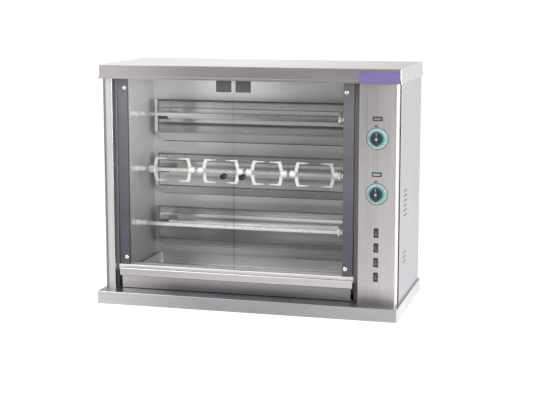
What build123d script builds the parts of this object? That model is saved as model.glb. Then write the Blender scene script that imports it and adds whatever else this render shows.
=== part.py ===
from build123d import *
import os

# Overall sizes of the case, in mm
BODY_W = 1000.0
BODY_D = 415.0
CASE_H = 755.0
BASE_H = 42.0
BASE_REACH = 65.0
BASE_MARGIN = 8.0
FOOT_H = 3.0
LIP_H = 46.0
LIP_REACH = 22.0
LIP_MARGIN = 4.0
HEM_H = 9.0
HEM_OUT = 2.5
REAR_RECESS = 18.0

# Sheet metal and fits
SHEET = 1.2
BEND = 2.0
EDGE_FOLD = 12.0
CUT = 5.0
RUN = 0.05
FIT = 0.3
SEAT = 0.1

# Front frame and doors
POST_W = 32.0
COLUMN_W = 133.0
PANEL_EDGE_R = 10.0
PANEL_JOINT = 5.0
JOINT_DEPTH = 14.0
DOOR_RECESS = 25.0
STEP_LEFT = 5.0
STEP_RIGHT = 18.0
DOOR_GAP = 1.5
MEETING_GAP = 2.0
DOOR_TOP_GAP = 3.0
STILE_W = 37.0
STILE_T = 14.0
GLASS_T = 5.0
GLASS_SEAT = 14.0
PIVOT_D = 6.0
PIVOT_DEPTH = 13.0
PIVOT_HEAD_D = 10.0
PIVOT_HEAD_H = 3.0
KNOB_D = 20.0
KNOB_OUT = 22.0
KNOB_EDGE_R = 4.0
KNOB_NECK = 7.0
KNOB_NECK_D = 14.0
KNOB_INSET = 32.0
KNOB_Z = 437.0
KNOB_SCREW_D = 5.0
NUT_D = 14.0
NUT_H = 4.0
STRIKE_W = 50.0
STRIKE_H = 38.0
STRIKE_INSET = 7.0
MAGNET_W = 38.0
MAGNET_H = 18.0
MAGNET_T = 12.0

# Sill, header and drip tray
SILL_TOP = 122.0
SILL_H = 20.0
RAIL_D = 38.0
TRAY_LIP_TOP = 115.0
TRAY_LIP_H = 26.0
TRAY_LIP_OUT = 8.0
TRAY_LIP_FOLD = 12.0
TRAY_FOOT_FOLD = 6.0
TRAY_SIDE_GAP = 17.5
TRAY_NOTCH = 6.0
PAN_GAP = 26.0
PAN_FLOOR = 57.0
PAN_RIM = 98.0
PAN_BACK_GAP = 16.0
PAN_SHEET = 1.5
PAN_CORNER = 10.0
RAIL_W = 44.0
RAIL_H = 20.0

# Cavity, spits and forks
CAVITY_D = 385.0
SPIT_SET = 165.0
SPIT_Z = 432.0
SPIT_PITCH = 190.5
SPIT_BAR = 12.0
SPIT_EDGE = 1.0
JOURNAL_D = 8.0
BUSH_D = 20.0
BUSH_NOSE_D = 16.0
BUSH_LEN = 50.0
BUSH_NOSE = 27.0
BUSH_FLANGE_D = 28.0
BUSH_FLANGE_T = 2.0
SOCKET_LEN = 78.0
SOCKET_D = 24.0
SOCKET_FLANGE_D = 42.0
SOCKET_FLANGE_T = 8.0
SOCKET_DEPTH = 24.0
SHAFT_D = 12.0
SHAFT_LEN = 32.0
FORK_END_LEFT = 28.0
FORK_END_RIGHT = 15.0
FORK_BACK_GAP = 40.0
BAY_SHARES = (0.264, 0.253, 0.217, 0.266)
FORK_HALF = 41.0
FORK_BOW = 8.0
FORK_W = 11.0
FORK_WAIST = 9.0
FORK_T = 5.0
PRONG_SHARE = 0.355
PRONG_ROOT = 6.0
PRONG_TIP = 1.6
HUB_D = 26.0
HUB_LEN = 14.0
SCREW_D = 6.0
SCREW_HEAD_D = 14.0
SCREW_HEAD_H = 9.0

# Heating elements and reflectors
HEAT_SET = 335.0
HEAT_DROP = 25.0
TROUGH_FRONT = 310.0
TROUGH_UP = 63.0
TROUGH_DOWN = 53.0
TROUGH_FLAT = 26.0
TROUGH_GAP = 41.0
TROUGH_FLANGE = 10.0
APRON_DROP = 40.0
ELEMENT_D = 13.0
CAP_D = 20.0
CAP_LEN = 30.0
CAP_SEAT = 12.0
CAP_STUD_D = 10.0

# Gear motors
MOTOR_PLATE = 84.0
MOTOR_PLATE_T = 3.0
GEARCASE = 70.0
GEARCASE_L = 35.0
MOTOR_D = 54.0
MOTOR_L = 48.0
BOSS_D = 25.0

# Control panel
CONTROL_INSET = 59.0
DIAL_Z = (579.0, 402.0)
DIAL_D = 64.0
DIAL_T = 1.5
DIAL_KNOB_D = 46.0
DIAL_SKIRT = 5.0
DIAL_GRIP_D = 38.0
DIAL_KNOB_H = 20.0
GRIP_W = 9.0
SPINDLE_D = 6.0
SPINDLE_HOLE = 10.0
REGULATOR = 46.0
REGULATOR_D = 32.0
PILOT_ABOVE = 63.0
PILOT_W = 31.0
PILOT_H = 14.0
PILOT_OUT = 3.0
PILOT_BACK = 20.0
PILOT_RIM = 2.5
ROCKER_Z = (276.5, 228.0, 180.0, 132.5)
SWITCH_W = 15.0
SWITCH_H = 30.0
SWITCH_OUT = 2.0
SWITCH_BACK = 22.0
SWITCH_RIM = 1.4
ROCKER_HALF = 9.0
ROCKER_PIN_D = 3.0
ROCKER_DEPTH = 3.0
ROCKER_DISH = 2.0

# Vents, cable inlet and feet
LOUVRE_W = 56.0
LOUVRE_H = 3.0
LOUVRE_SET = 110.0
LOUVRE_ROWS = (321.0, 337.0, 353.0, 369.0, 385.0, 401.0, 166.0, 182.0, 198.0)
REAR_SLOT_W = 90.0
REAR_SLOT_INSET = 75.0
REAR_SLOT_ROWS = (600.0, 616.0, 632.0, 648.0, 664.0, 680.0)
GLAND_INSET = 70.0
GLAND_Z = 105.0
GLAND_D = 20.0
GLAND_BORE = 11.0
GLAND_NUT_D = 28.0
GLAND_OUT = 15.0
GLAND_NUT_H = 6.0
FOOT_D = 36.0
FOOT_INSET = 30.0
FOOT_STEM_D = 8.0
BASE_FLANGE = 52.0

# Planes that the pieces share
BASE_W = BODY_W + 2 * BASE_MARGIN
BASE_D = BODY_D + BASE_REACH
X_LEFT = -BODY_W / 2
X_RIGHT = BODY_W / 2
Y_BASE = -BASE_D / 2
Y_FRONT = Y_BASE + BASE_REACH
Y_BACK = BASE_D / 2
Y_DOOR = Y_FRONT + DOOR_RECESS
Y_CAVITY = Y_FRONT + CAVITY_D
Y_REAR = Y_BACK - REAR_RECESS - SHEET
Z_BASE = FOOT_H + BASE_H
Z_TOP = Z_BASE + CASE_H
Z_UNDER = Z_TOP - SHEET
Z_LIP = Z_TOP - LIP_H
X_POST = X_LEFT + POST_W
X_COLUMN = X_RIGHT - COLUMN_W
X_WALL_L = X_POST + STEP_LEFT
X_WALL_R = X_COLUMN - STEP_RIGHT
X_MEET = (X_WALL_L + X_WALL_R) / 2
Z_DOOR_TOP = Z_LIP - DOOR_TOP_GAP
Z_HEADER = Z_DOOR_TOP + 2 * FIT + SHEET
Z_DOOR = SILL_TOP + 2 * SHEET - 2 * FIT
Y_STILE = Y_DOOR + STILE_T
Y_AXIS = Y_DOOR + STILE_T / 2
Y_GLASS = Y_AXIS - GLASS_T / 2
Y_SPIT = Y_FRONT + SPIT_SET
Y_HEAT = Y_FRONT + HEAT_SET
Y_PANEL_IN = Y_FRONT + SHEET
SPIT_LEVELS = {"upper": SPIT_Z + SPIT_PITCH, "middle": SPIT_Z, "lower": SPIT_Z - SPIT_PITCH}
X_SOCKET = X_WALL_R - BUSH_FLANGE_T - SOCKET_LEN
X_NOSE = X_WALL_L + BUSH_LEN
CONTROL_X = X_COLUMN + CONTROL_INSET
REAR_SLOT_X = X_RIGHT - REAR_SLOT_INSET
GLAND_X = X_RIGHT - GLAND_INSET

# Fork places: one bay between each facing pair, shared out over the free length of the spit
BAY_COUNT = len(BAY_SHARES)
BAYS = X_SOCKET - X_NOSE - FORK_END_LEFT - FORK_END_RIGHT - (BAY_COUNT - 1) * FORK_BACK_GAP
PRONG_LEN = PRONG_SHARE * min(BAY_SHARES) * BAYS
FORK_X = []
start = X_NOSE + FORK_END_LEFT
for share in BAY_SHARES:
    FORK_X += [start, start + share * BAYS]
    start += share * BAYS + FORK_BACK_GAP


# Shared shapes
def block(x0, x1, y0, y1, z0, z1):
    centre = Pos((x0 + x1) / 2, (y0 + y1) / 2, (z0 + z1) / 2)
    return centre * Box(x1 - x0, y1 - y0, z1 - z0)


def rod_x(x0, x1, diameter, y, z):
    return Pos((x0 + x1) / 2, y, z) * Rot(0, 90, 0) * Cylinder(diameter / 2, x1 - x0)


def rod_y(y0, y1, diameter, x, z):
    return Pos(x, (y0 + y1) / 2, z) * Rot(90, 0, 0) * Cylinder(diameter / 2, y1 - y0)


def rod_z(z0, z1, diameter, x, y):
    return Pos(x, y, (z0 + z1) / 2) * Cylinder(diameter / 2, z1 - z0)


def fold(points, radius=BEND, sheet=SHEET):
    path = FilletPolyline(*points, radius=radius)
    return make_face(path.offset_2d(sheet, side=Side.LEFT).edges())


def fold_up(points, z0, z1, radius=BEND):
    return Pos(0, 0, z0) * extrude(fold(points, radius), z1 - z0)


def fold_across(points, x0, x1, radius=BEND):
    return Pos(x0, 0, 0) * extrude(Plane.YZ * fold(points, radius), x1 - x0)


def fold_back(points, y0, y1, radius=BEND):
    return Pos(0, y1, 0) * extrude(Plane.XZ * fold(points, radius), y1 - y0)


def upright_edges(shape):
    return shape.edges().filter_by(Axis.Z)


# Base pan with an inward flange, and its feet
def foot_places():
    x = BASE_W / 2 - FOOT_INSET
    y = BASE_D / 2 - FOOT_INSET
    return [(-x, -y), (x, -y), (-x, y), (x, y)]


def base_pan():
    pan = block(-BASE_W / 2, BASE_W / 2, Y_BASE, Y_BACK, FOOT_H, Z_BASE)
    pan = fillet(upright_edges(pan), 2 * BEND)
    pan = fillet(pan.faces().sort_by(Axis.Z)[-1].edges(), BEND)
    x = BASE_W / 2 - SHEET
    y = BASE_D / 2 - SHEET
    pan -= block(-x, x, -y, y, FOOT_H + SHEET, Z_BASE - SHEET)
    x = BASE_W / 2 - BASE_FLANGE
    y = BASE_D / 2 - BASE_FLANGE
    pan -= block(-x, x, -y, y, FOOT_H, FOOT_H + SHEET)
    for x, y in foot_places():
        pan -= rod_z(FOOT_H, FOOT_H + SHEET, FOOT_STEM_D + 2 * SEAT, x, y)
    return pan


def feet():
    made = []
    for x, y in foot_places():
        foot = rod_z(0, FOOT_H, FOOT_D, x, y)
        foot = chamfer(foot.faces().sort_by(Axis.Z)[0].edges(), FOOT_H / 4)
        foot += rod_z(FOOT_H, FOOT_H + 2 * SHEET, FOOT_STEM_D, x, y)
        foot += rod_z(FOOT_H + SHEET, FOOT_H + 3 * SHEET, 2 * FOOT_STEM_D, x, y)
        made.append(foot)
    return Compound(made)


# Outer case
def left_side_panel():
    hem = X_LEFT + EDGE_FOLD
    path = [(hem, Y_BACK), (X_LEFT, Y_BACK), (X_LEFT, Y_FRONT), (X_POST, Y_FRONT), (X_POST, Y_DOOR)]
    return fold_up(path, Z_BASE, Z_UNDER)


def right_side_panel():
    y = Y_FRONT + JOINT_DEPTH
    hem = X_RIGHT - EDGE_FOLD
    panel = fold_up([(hem, y), (X_RIGHT, y), (X_RIGHT, Y_BACK), (hem, Y_BACK)], Z_BASE, Z_UNDER)
    y = Y_FRONT + LOUVRE_SET
    for z in LOUVRE_ROWS:
        slot = extrude(Plane.YZ * SlotOverall(LOUVRE_W, LOUVRE_H), CUT, both=True)
        panel -= Pos(X_RIGHT, y, z) * slot
    return panel


def rear_panel():
    x = X_RIGHT - SHEET
    y = Y_REAR + EDGE_FOLD
    panel = fold_up([(-x, y), (-x, Y_REAR), (x, Y_REAR), (x, y)], Z_BASE, Z_UNDER)
    for z in REAR_SLOT_ROWS:
        slot = extrude(Plane.XZ * SlotOverall(REAR_SLOT_W, LOUVRE_H), CUT, both=True)
        panel -= Pos(REAR_SLOT_X, Y_REAR, z) * slot
    panel -= rod_y(Y_REAR - SHEET, Y_REAR + 2 * SHEET, GLAND_D + 2 * SEAT, GLAND_X, GLAND_Z)
    return panel


def top_cover():
    x = BODY_W / 2 + LIP_MARGIN
    y = Y_FRONT - LIP_REACH
    cover = block(-x, x, y, Y_BACK, Z_LIP, Z_TOP)
    cover = fillet(upright_edges(cover), 2 * BEND)
    cover = fillet(cover.faces().sort_by(Axis.Z)[-1].edges(), BEND)
    hem = block(-x - HEM_OUT, x + HEM_OUT, y - HEM_OUT, Y_BACK, Z_LIP, Z_LIP + HEM_H)
    hem = fillet(upright_edges(hem), 2 * BEND)
    cover += chamfer(hem.faces().sort_by(Axis.Z)[-1].edges(), HEM_OUT)
    cover -= block(-x + SHEET, x - SHEET, y + SHEET, Y_BACK - SHEET, Z_LIP, Z_UNDER)
    cover -= block(-BODY_W / 2 - SEAT, BODY_W / 2 + SEAT, Y_DOOR, Y_BACK, Z_LIP, Z_UNDER)
    return cover


# Folded front panel of the control column with its cut-outs, set off from the side panel by a shadow joint
def control_panel():
    x = X_RIGHT - PANEL_JOINT
    path = [(X_COLUMN, Y_DOOR), (X_COLUMN, Y_FRONT), (x, Y_FRONT), (x, Y_FRONT + JOINT_DEPTH - FIT)]
    panel = fold_up(path, Z_BASE, Z_UNDER, [BEND, PANEL_EDGE_R])
    y0 = Y_FRONT - SHEET
    y1 = Y_FRONT + 2 * SHEET
    for z in DIAL_Z:
        panel -= rod_y(y0, y1, SPINDLE_HOLE, CONTROL_X, z)
        panel -= box_at(PILOT_W - 2 * PILOT_RIM, PILOT_H - 2 * PILOT_RIM, y0, y1, z + PILOT_ABOVE)
    for z in ROCKER_Z:
        panel -= box_at(SWITCH_W - 2 * SWITCH_RIM, SWITCH_H - 2 * SWITCH_RIM, y0, y1, z)
    return panel


def box_at(width, height, y0, y1, z):
    half = width / 2
    return block(CONTROL_X - half, CONTROL_X + half, y0, y1, z - height / 2, z + height / 2)


# Header and sill rails that carry the door pivots
def pivot_places():
    offset = DOOR_GAP + STILE_T / 2
    return [X_WALL_L + offset, X_WALL_R - offset]


def header_rail():
    y = Y_DOOR + RAIL_D
    path = [(y, Z_UNDER), (Y_DOOR, Z_UNDER), (Y_DOOR, Z_HEADER), (y, Z_HEADER)]
    rail = fold_across(path, X_POST, X_COLUMN)
    for x in pivot_places():
        rail -= rod_z(Z_HEADER - SHEET, Z_HEADER + 2 * SHEET, PIVOT_D + 2 * SEAT, x, Y_AXIS)
    return rail


def sill_rail():
    y = Y_DOOR + RAIL_D
    z = SILL_TOP - SILL_H
    rail = fold_across([(y, SILL_TOP), (Y_DOOR, SILL_TOP), (Y_DOOR, z), (y, z)], X_WALL_L, X_WALL_R)
    for x in pivot_places():
        rail -= rod_z(SILL_TOP - 2 * SHEET, SILL_TOP + SHEET, PIVOT_D + 2 * SEAT, x, Y_AXIS)
    return rail


def door_pivot_pins():
    made = []
    for x in pivot_places():
        pin = rod_z(Z_DOOR_TOP - PIVOT_DEPTH + FIT, Z_HEADER + SHEET, PIVOT_D, x, Y_AXIS)
        pin += rod_z(Z_HEADER + SHEET, Z_HEADER + SHEET + PIVOT_HEAD_H, PIVOT_HEAD_D, x, Y_AXIS)
        made.append(pin)
        pin = rod_z(SILL_TOP - 2 * SHEET, Z_DOOR + PIVOT_DEPTH - FIT, PIVOT_D, x, Y_AXIS)
        pin += rod_z(SILL_TOP, Z_DOOR - FIT, PIVOT_HEAD_D, x, Y_AXIS)
        made.append(pin)
    return Compound(made)


# Cavity lining
def cavity_left_wall():
    path = [(X_POST - SHEET, Y_DOOR), (X_WALL_L, Y_DOOR), (X_WALL_L, Y_CAVITY)]
    wall = fold_up(path, Z_BASE, Z_HEADER)
    for z in SPIT_LEVELS.values():
        wall -= rod_x(X_WALL_L - 2 * SHEET, X_WALL_L + SHEET, BUSH_D + 2 * SEAT, Y_SPIT, z)
    return wall


def cavity_right_wall():
    path = [(X_WALL_R, Y_CAVITY), (X_WALL_R, Y_DOOR), (X_COLUMN + SHEET, Y_DOOR)]
    wall = fold_up(path, Z_BASE, Z_HEADER)
    for z in SPIT_LEVELS.values():
        wall -= rod_x(X_WALL_R - SHEET, X_WALL_R + 2 * SHEET, BOSS_D + 2 * SEAT, Y_SPIT, z)
    return wall


def cavity_back_wall():
    return block(X_WALL_L - SHEET, X_WALL_R + SHEET, Y_CAVITY, Y_CAVITY + SHEET, Z_BASE, Z_HEADER)


def cavity_ceiling():
    y = Y_DOOR + RAIL_D
    return block(X_WALL_L - SHEET, X_WALL_R + SHEET, y, Y_CAVITY + SHEET, Z_HEADER, Z_HEADER + SHEET)


# Rails under the drip tray, on both walls
def tray_rails():
    z = PAN_FLOOR - FIT - SHEET
    y = Y_DOOR + RAIL_D
    left = [(X_WALL_L, z + RAIL_H), (X_WALL_L, z), (X_WALL_L + RAIL_W, z)]
    right = [(X_WALL_R - RAIL_W, z), (X_WALL_R, z), (X_WALL_R, z + RAIL_H)]
    return Compound([fold_back(left, y, Y_CAVITY), fold_back(right, y, Y_CAVITY)])


# Drip tray: the pan and its folded front with the pull lip
def drip_tray_pan():
    x0 = X_WALL_L + PAN_GAP
    x1 = X_WALL_R - PAN_GAP
    y0 = Y_FRONT + TRAY_LIP_OUT + SHEET
    y1 = Y_CAVITY - PAN_BACK_GAP
    pan = block(x0, x1, y0, y1, PAN_FLOOR, PAN_RIM)
    pan = fillet(upright_edges(pan), PAN_CORNER)
    pan = fillet(pan.faces().sort_by(Axis.Z)[0].edges(), PAN_CORNER / 2)
    t = PAN_SHEET
    hollow = block(x0 + t, x1 - t, y0 + t, y1 - t, PAN_FLOOR + t, PAN_RIM)
    hollow = fillet(upright_edges(hollow), PAN_CORNER - t)
    hollow = fillet(hollow.faces().sort_by(Axis.Z)[0].edges(), PAN_CORNER / 2 - t)
    return pan - hollow


def drip_tray_front():
    face = Y_FRONT + TRAY_LIP_OUT
    z1 = TRAY_LIP_TOP
    z0 = TRAY_LIP_TOP - TRAY_LIP_H
    low = Z_BASE + SHEET
    end = face + TRAY_FOOT_FOLD
    lip = [(Y_FRONT + TRAY_LIP_FOLD, z1), (Y_FRONT, z1), (Y_FRONT, z0)]
    path = lip + [(face, z0 - SHEET), (face, low), (end, low)]
    x0 = X_POST + TRAY_SIDE_GAP
    x1 = X_COLUMN - TRAY_SIDE_GAP
    front = fold_across(path, x0, x1, [2 * BEND, BEND, BEND, BEND])
    z = z0 - BEND - SHEET
    front -= block(x0, x0 + TRAY_NOTCH, Y_FRONT, end, low, z)
    front -= block(x1 - TRAY_NOTCH, x1, Y_FRONT, end, low, z)
    return front


# Reflector troughs with flanged end plates and a sloping apron, heating elements and their end caps
def reflector(z):
    zt = z - HEAT_DROP
    front = Y_FRONT + TROUGH_FRONT
    foot = (Y_CAVITY, zt - TROUGH_DOWN - APRON_DROP)
    low = (front, zt - TROUGH_DOWN)
    high = (front, zt + TROUGH_UP)
    flat = (Y_CAVITY, zt + TROUGH_FLAT)
    x0 = X_WALL_L + TROUGH_GAP
    x1 = X_WALL_R - TROUGH_GAP
    trough = fold_across([foot, low, (Y_CAVITY, zt - TROUGH_FLAT), flat, high], x0, x1)
    plate = extrude(Plane.YZ * make_face(Polyline(foot, low, high, flat, close=True)), SHEET)
    trough += Pos(x0, 0, 0) * plate
    trough += Pos(x1 - SHEET, 0, 0) * plate
    trough += block(x0 - TROUGH_FLANGE, x0 + SHEET, front, front + SHEET, low[1], high[1])
    trough += block(x1 - SHEET, x1 + TROUGH_FLANGE, front, front + SHEET, low[1], high[1])
    trough -= rod_x(x0, x0 + SHEET, CAP_STUD_D + 2 * SEAT, Y_HEAT, zt)
    trough -= rod_x(x1 - SHEET, x1, CAP_STUD_D + 2 * SEAT, Y_HEAT, zt)
    return trough


def element(z):
    inset = TROUGH_GAP + SHEET + CAP_LEN - CAP_SEAT
    return rod_x(X_WALL_L + inset, X_WALL_R - inset, ELEMENT_D, Y_HEAT, z - HEAT_DROP)


def element_cap(z):
    zt = z - HEAT_DROP
    cap = rod_x(0, CAP_LEN, CAP_D, Y_HEAT, zt) + rod_x(-2 * SHEET, 0, CAP_STUD_D, Y_HEAT, zt)
    return cap - rod_x(CAP_LEN - CAP_SEAT, CAP_LEN, ELEMENT_D + 2 * SEAT, Y_HEAT, zt)


def element_end_caps():
    made = []
    for z in SPIT_LEVELS.values():
        cap = element_cap(z)
        made.append(Pos(X_WALL_L + TROUGH_GAP + SHEET, 0, 0) * cap)
        made.append(Pos(X_WALL_R - TROUGH_GAP - SHEET, 0, 0) * mirror(cap, Plane.YZ))
    return Compound(made)


# Spits: bushes on the left wall, square bars, drive sockets and gear motors
def spit_bushes():
    made = []
    for z in SPIT_LEVELS.values():
        bush = rod_x(X_WALL_L - SHEET, X_NOSE - BUSH_NOSE, BUSH_D, Y_SPIT, z)
        bush += rod_x(X_NOSE - BUSH_NOSE, X_NOSE, BUSH_NOSE_D, Y_SPIT, z)
        x0 = X_WALL_L - SHEET - BUSH_FLANGE_T
        bush += rod_x(x0, X_WALL_L - SHEET, BUSH_FLANGE_D, Y_SPIT, z)
        made.append(bush - rod_x(x0, X_NOSE, JOURNAL_D + 2 * RUN, Y_SPIT, z))
    return Compound(made)


def spit(z):
    x0 = X_NOSE + FIT
    x1 = X_SOCKET + SOCKET_DEPTH - FIT
    half = SPIT_BAR / 2
    bar = block(x0, x1, Y_SPIT - half, Y_SPIT + half, z - half, z + half)
    bar = chamfer(bar.edges().filter_by(Axis.X), SPIT_EDGE)
    return bar + rod_x(X_WALL_L, x0, JOURNAL_D, Y_SPIT, z)


def drive_socket(z):
    x1 = X_SOCKET + SOCKET_LEN - FIT
    socket = rod_x(X_SOCKET, x1, SOCKET_D, Y_SPIT, z)
    socket += rod_x(X_SOCKET, X_SOCKET + SOCKET_FLANGE_T, SOCKET_FLANGE_D, Y_SPIT, z)
    socket += rod_x(x1, x1 + SHAFT_LEN, SHAFT_D, Y_SPIT, z)
    half = SPIT_BAR / 2 + SEAT
    x1 = X_SOCKET + SOCKET_DEPTH
    return socket - block(X_SOCKET, x1, Y_SPIT - half, Y_SPIT + half, z - half, z + half)


def gear_motor(z):
    x0 = X_WALL_R - BUSH_FLANGE_T
    x1 = X_WALL_R + SHEET
    x2 = x1 + MOTOR_PLATE_T
    x3 = x2 + GEARCASE_L
    motor = rod_x(x0, x1, BOSS_D, Y_SPIT, z)
    motor += square_x(x1, x2, MOTOR_PLATE, z)
    motor += fillet(square_x(x2, x3, GEARCASE, z).edges().filter_by(Axis.X), 3 * BEND)
    motor += rod_x(x3, x3 + MOTOR_L, MOTOR_D, Y_SPIT, z)
    return motor - rod_x(x0, x0 + SHAFT_LEN + SHEET, SHAFT_D + 2 * RUN, Y_SPIT, z)


def square_x(x0, x1, side, z):
    half = side / 2
    return block(x0, x1, Y_SPIT - half, Y_SPIT + half, z - half, z + half)


# Meat forks: bowed strips with two prongs, each on a hub with a thumb screw
def fork_outline():
    top = FORK_HALF
    root = top - PRONG_ROOT
    tip = top - PRONG_ROOT / 2
    far = FORK_BOW + PRONG_LEN
    inner = FORK_BOW + FORK_WAIST
    lines = ThreePointArc((FORK_BOW, top), (0, 0), (FORK_BOW, -top))
    lines += Line((FORK_BOW, -top), (far, -tip - PRONG_TIP / 2))
    lines += Line((far, -tip - PRONG_TIP / 2), (far, -tip + PRONG_TIP / 2))
    lines += Line((far, -tip + PRONG_TIP / 2), (inner, -root))
    lines += ThreePointArc((inner, -root), (FORK_W, 0), (inner, root))
    lines += Line((inner, root), (far, tip - PRONG_TIP / 2))
    lines += Line((far, tip - PRONG_TIP / 2), (far, tip + PRONG_TIP / 2))
    lines += Line((far, tip + PRONG_TIP / 2), (FORK_BOW, top))
    return make_face(lines)


def fork():
    made = extrude(Plane.XZ * fork_outline(), FORK_T / 2, both=True)
    made += rod_x(-HUB_LEN, FORK_W / 2, HUB_D, 0, 0)
    half = SPIT_BAR / 2 + SEAT
    made -= block(-HUB_LEN, FORK_W + FORK_BOW, -half, half, -half, half)
    return made - rod_y(0, HUB_D, SCREW_D + 2 * SEAT, -HUB_LEN / 2, 0)


def fork_screw():
    y = HUB_D / 2 + SHEET
    screw = rod_y(SPIT_BAR / 2 + SEAT, y, SCREW_D, -HUB_LEN / 2, 0)
    head = rod_y(y, y + SCREW_HEAD_H, SCREW_HEAD_D, -HUB_LEN / 2, 0)
    return screw + chamfer(head.faces().sort_by(Axis.Y)[-1].edges(), SHEET)


def on_spit(piece, index):
    if index % 2:
        piece = mirror(piece, Plane.YZ)
    return Pos(FORK_X[index], Y_SPIT, SPIT_Z) * piece


def fork_pair(number):
    return Compound([on_spit(fork(), 2 * number), on_spit(fork(), 2 * number + 1)])


def fork_screws():
    return Compound([on_spit(fork_screw(), i) for i in range(len(FORK_X))])


# Glass doors, made for the left side and mirrored about the meeting line
def door_stile():
    x0 = X_WALL_L + DOOR_GAP
    axis = x0 + STILE_T / 2
    stile = block(axis, x0 + STILE_W, Y_DOOR, Y_STILE, Z_DOOR, Z_DOOR_TOP)
    stile = fillet(upright_edges(stile).group_by(Axis.X)[-1], BEND)
    stile += rod_z(Z_DOOR, Z_DOOR_TOP, STILE_T, axis, Y_AXIS)
    half = GLASS_T / 2 + SEAT
    x1 = x0 + STILE_W
    stile -= block(x1 - GLASS_SEAT - SEAT, x1, Y_AXIS - half, Y_AXIS + half, Z_DOOR, Z_DOOR_TOP)
    bore = PIVOT_D + 2 * RUN
    stile -= rod_z(Z_DOOR, Z_DOOR + PIVOT_DEPTH, bore, axis, Y_AXIS)
    return stile - rod_z(Z_DOOR_TOP - PIVOT_DEPTH, Z_DOOR_TOP, bore, axis, Y_AXIS)


def door_glass():
    x0 = X_WALL_L + DOOR_GAP + STILE_W - GLASS_SEAT
    x1 = X_MEET - MEETING_GAP / 2
    glass = block(x0, x1, Y_GLASS, Y_GLASS + GLASS_T, Z_DOOR, Z_DOOR_TOP - SHEET)
    return glass - rod_y(Y_GLASS, Y_GLASS + GLASS_T, KNOB_SCREW_D + 2 * SEAT, X_MEET - KNOB_INSET, KNOB_Z)


def door_knob():
    x = X_MEET - KNOB_INSET
    y = Y_GLASS
    knob = rod_y(y - KNOB_OUT, y - KNOB_NECK, KNOB_D, x, KNOB_Z)
    knob = fillet(knob.faces().sort_by(Axis.Y)[0].edges(), KNOB_EDGE_R)
    knob += rod_y(y - KNOB_NECK, y, KNOB_NECK_D, x, KNOB_Z)
    knob += rod_y(y, y + GLASS_T + NUT_H, KNOB_SCREW_D, x, KNOB_Z)
    nut = rod_y(y + GLASS_T, y + GLASS_T + NUT_H, NUT_D, x, KNOB_Z)
    nut -= rod_y(y + GLASS_T, y + GLASS_T + NUT_H, KNOB_SCREW_D + 2 * SEAT, x, KNOB_Z)
    return Compound([knob, nut])


def strike_plate():
    x1 = X_MEET - MEETING_GAP / 2 - STRIKE_INSET
    z0 = Z_DOOR_TOP - STRIKE_H
    y0 = Y_GLASS - SEAT
    y1 = Y_GLASS + GLASS_T + SEAT
    plate = block(x1 - STRIKE_W, x1, y0 - SHEET, y1 + SHEET, z0, Z_DOOR_TOP)
    return plate - block(x1 - STRIKE_W, x1, y0, y1, z0, Z_DOOR_TOP - SHEET)


def right_hand(shape):
    return Pos(2 * X_MEET, 0, 0) * mirror(shape, Plane.YZ)


def door_magnet():
    x1 = X_MEET - MEETING_GAP / 2 - STRIKE_INSET - (STRIKE_W - MAGNET_W) / 2
    y0 = Y_GLASS + GLASS_T + SEAT + SHEET + FIT
    return block(x1 - MAGNET_W, x1, y0, y0 + MAGNET_T, Z_HEADER - MAGNET_H, Z_HEADER)


# Controls
def dial_plate(z):
    plate = rod_y(Y_FRONT - DIAL_T, Y_FRONT, DIAL_D, CONTROL_X, z)
    return plate - rod_y(Y_FRONT - DIAL_T, Y_FRONT, SPINDLE_HOLE, CONTROL_X, z)


def dial_knob(z):
    y = Y_FRONT - DIAL_T - FIT
    y1 = y - DIAL_KNOB_H
    knob = rod_y(y - DIAL_SKIRT, y, DIAL_KNOB_D, CONTROL_X, z)
    knob += rod_y(y1 + DIAL_SKIRT, y - DIAL_SKIRT, DIAL_GRIP_D, CONTROL_X, z)
    half = GRIP_W / 2
    grip = DIAL_KNOB_D / 2
    bar = block(CONTROL_X - half, CONTROL_X + half, y1, y - DIAL_SKIRT, z - grip, z + grip)
    knob += fillet(bar.faces().sort_by(Axis.Y)[0].edges(), BEND)
    return knob + rod_y(y, Y_PANEL_IN + REGULATOR_D / 2, SPINDLE_D, CONTROL_X, z)


def regulator(z):
    body = box_at(REGULATOR, REGULATOR, Y_PANEL_IN, Y_PANEL_IN + REGULATOR_D, z)
    body = fillet(body.edges().filter_by(Axis.Y), 2 * BEND)
    depth = Y_PANEL_IN + REGULATOR_D / 2 + FIT
    return body - rod_y(Y_PANEL_IN, depth, SPINDLE_D + 2 * RUN, CONTROL_X, z)


def pilot_frame(z):
    inner_w = PILOT_W - 2 * PILOT_RIM
    inner_h = PILOT_H - 2 * PILOT_RIM
    frame = box_at(PILOT_W, PILOT_H, Y_FRONT - PILOT_OUT, Y_FRONT, z)
    frame = chamfer(frame.faces().sort_by(Axis.Y)[0].edges(), SHEET / 2)
    y1 = Y_FRONT + PILOT_BACK
    frame += box_at(inner_w - 2 * SEAT, inner_h - 2 * SEAT, Y_FRONT, y1, z)
    y0 = Y_FRONT - PILOT_OUT
    return frame - box_at(inner_w - 2 * SHEET, inner_h - 2 * SHEET, y0, Y_FRONT + PILOT_OUT, z)


def pilot_lens(z):
    gap = 2 * SHEET + 2 * SEAT
    width = PILOT_W - 2 * PILOT_RIM - gap
    height = PILOT_H - 2 * PILOT_RIM - gap
    return box_at(width, height, Y_FRONT - PILOT_OUT - SHEET / 3, Y_FRONT + PILOT_OUT, z)


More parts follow.
